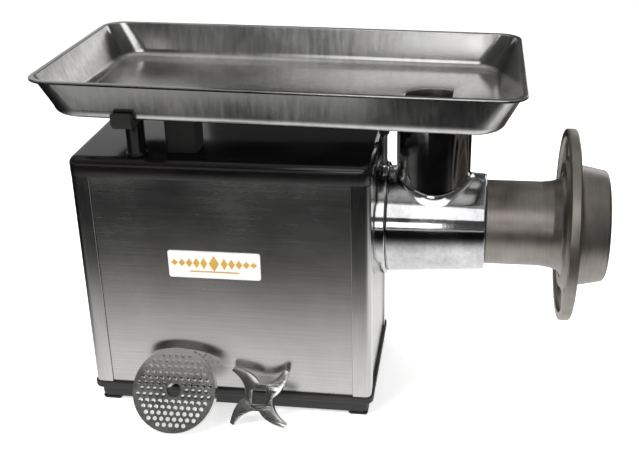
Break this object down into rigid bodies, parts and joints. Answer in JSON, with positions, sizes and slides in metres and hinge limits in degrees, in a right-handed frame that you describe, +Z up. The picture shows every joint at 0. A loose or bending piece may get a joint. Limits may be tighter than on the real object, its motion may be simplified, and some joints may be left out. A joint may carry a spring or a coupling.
{
  "type": "electric meat grinder",
  "caption": "Bench electric meat grinder: boxed motor housing, cast head with worm, knife and plate, spoked ring nut, long feed tray, spare plate and knife.",
  "frame": {"origin": "middle of the bounding box in X and Y, at the plane the feet stand on", "axes": "+X runs along the housing towards the grinding head, +Y towards the housing's rear panel, +Z up"},
  "size_m": [0.6234, 0.3032, 0.42],
  "materials": {
    "gloss_black": "high gloss moulded black",
    "matt_black": "matt moulded black",
    "black_rubber": "matt",
    "panel_steel": "brushed stainless sheet",
    "tray_steel": "satin drawn stainless sheet",
    "label_white": "plain satin white, no print",
    "motor_paint": "hammered enamel",
    "core_steel": "machined",
    "cast_aluminium": "polished casting",
    "grey_casting": "dull tinned, machined",
    "bronze": "machined",
    "polished_steel": "ground and polished",
    "terminal_plastic": "matt ivory",
    "green_plastic": "gloss",
    "red_plastic": "gloss"
  },
  "bodies": {
    "housing": {"base_tray": "matt_black", "foot_front_left": "black_rubber", "foot_front_right": "black_rubber", "foot_rear_left": "black_rubber", "foot_rear_right": "black_rubber", "corner_post_front_left": "panel_steel", "corner_post_front_right": "panel_steel", "corner_post_rear_left": "panel_steel", "corner_post_rear_right": "panel_steel", "front_panel": "panel_steel", "rear_panel": "panel_steel", "left_panel": "panel_steel", "right_panel": "panel_steel", "label_plate": "label_white", "top_cap": "gloss_black", "motor_case": "motor_paint", "motor_stator": "core_steel", "motor_end_shield_fan": "motor_paint", "motor_end_shield_drive": "motor_paint", "motor_bearing_fan": "core_steel", "motor_bearing_drive": "core_steel", "motor_cradle": "matt_black", "output_bearing_rear": "core_steel", "output_bearing_front": "core_steel", "oil_seal": "black_rubber", "gearbox_case": "motor_paint", "gearbox_cover": "motor_paint", "gearbox_mount": "matt_black", "neck_collar": "cast_aluminium", "tray_post": "matt_black", "tray_hook": "black_rubber", "tray_rest_block": "black_rubber", "switch_plate": "matt_black", "switch_body": "matt_black", "terminal_block": "terminal_plastic", "run_capacitor": "terminal_plastic", "cable_gland": "matt_black"},
    "output": {"output_shaft": "core_steel", "output_gear": "core_steel"},
    "idler": {"idler_shaft": "core_steel", "idler_gear": "core_steel", "idler_pinion": "core_steel"},
    "rotor": {"motor_shaft": "core_steel", "rotor_core": "core_steel", "cooling_fan": "matt_black", "motor_pinion": "core_steel"},
    "head": {"head_casting": "cast_aluminium", "cutter_barrel": "grey_casting", "worm_bush": "bronze"},
    "worm": {"feed_worm": "cast_aluminium", "cutting_knife": "polished_steel"},
    "plate": {"cutting_plate": "polished_steel"},
    "ring": {"ring_nut": "grey_casting"},
    "tray": {"feed_tray": "tray_steel"},
    "lock": {"lock_screw": "polished_steel", "lock_knob": "matt_black"},
    "start": {"start_button": "green_plastic"},
    "stop": {"stop_button": "red_plastic"},
    "spare_plate": {"spare_plate": "polished_steel"},
    "spare_knife": {"spare_knife": "polished_steel"}
  },
  "joints": [
    {"name": "output_spin", "type": "hinge", "parent": "housing", "child": "output", "pos_m": [-0.00929, 0.01312, 0.22], "axis": [1, 0, 0], "continuous": true},
    {"name": "idler_spin", "type": "hinge", "parent": "housing", "child": "idler", "pos_m": [-0.00929, 0.01312, 0.1575], "axis": [1, 0, 0], "continuous": true},
    {"name": "motor_spin", "type": "hinge", "parent": "housing", "child": "rotor", "pos_m": [-0.13929, 0.01312, 0.1015], "axis": [1, 0, 0], "continuous": true},
    {"name": "head_slide", "type": "slide", "parent": "housing", "child": "head", "axis": [1, 0, 0], "range_m": [0, 0.06]},
    {"name": "worm_spin", "type": "hinge", "parent": "head", "child": "worm", "pos_m": [0.11071, 0.01312, 0.22], "axis": [1, 0, 0], "continuous": true},
    {"name": "plate_advance", "type": "slide", "parent": "head", "child": "plate", "axis": [1, 0, 0], "range_m": [0, 0.0081]},
    {"name": "ring_nut_turn", "type": "hinge", "parent": "plate", "child": "ring", "pos_m": [0.28071, 0.01312, 0.22], "axis": [1, 0, 0], "range_deg": [0, 720]},
    {"name": "tray_lift", "type": "slide", "parent": "head", "child": "tray", "axis": [0, 0, 1], "range_m": [0, 0.06]},
    {"name": "lock_screw_turn", "type": "hinge", "parent": "housing", "child": "lock", "pos_m": [0.05651, 0.01312, 0.3], "axis": [0, 0, 1], "range_deg": [0, 360]},
    {"name": "start_press", "type": "slide", "parent": "housing", "child": "start", "axis": [1, 0, 0], "range_m": [0, 0.003], "stiffness_N_per_m": 400},
    {"name": "stop_press", "type": "slide", "parent": "housing", "child": "stop", "axis": [1, 0, 0], "range_m": [0, 0.003], "stiffness_N_per_m": 400},
    {"name": "spare_plate_lift", "type": "slide", "parent": "housing", "child": "spare_plate", "axis": [0, 0, 1], "range_m": [0, 0.05]},
    {"name": "spare_knife_lift", "type": "slide", "parent": "housing", "child": "spare_knife", "axis": [0, 0, 1], "range_m": [0, 0.05]}
  ],
  "couplings": [
    {"joint": "idler_spin", "follows": "output_spin", "ratio": -2.5714},
    {"joint": "motor_spin", "follows": "output_spin", "ratio": 7.7143},
    {"joint": "worm_spin", "follows": "output_spin", "ratio": 1},
    {"joint": "plate_advance", "follows": "ring_nut_turn", "m_per_rad": 0.00063662}
  ]
}
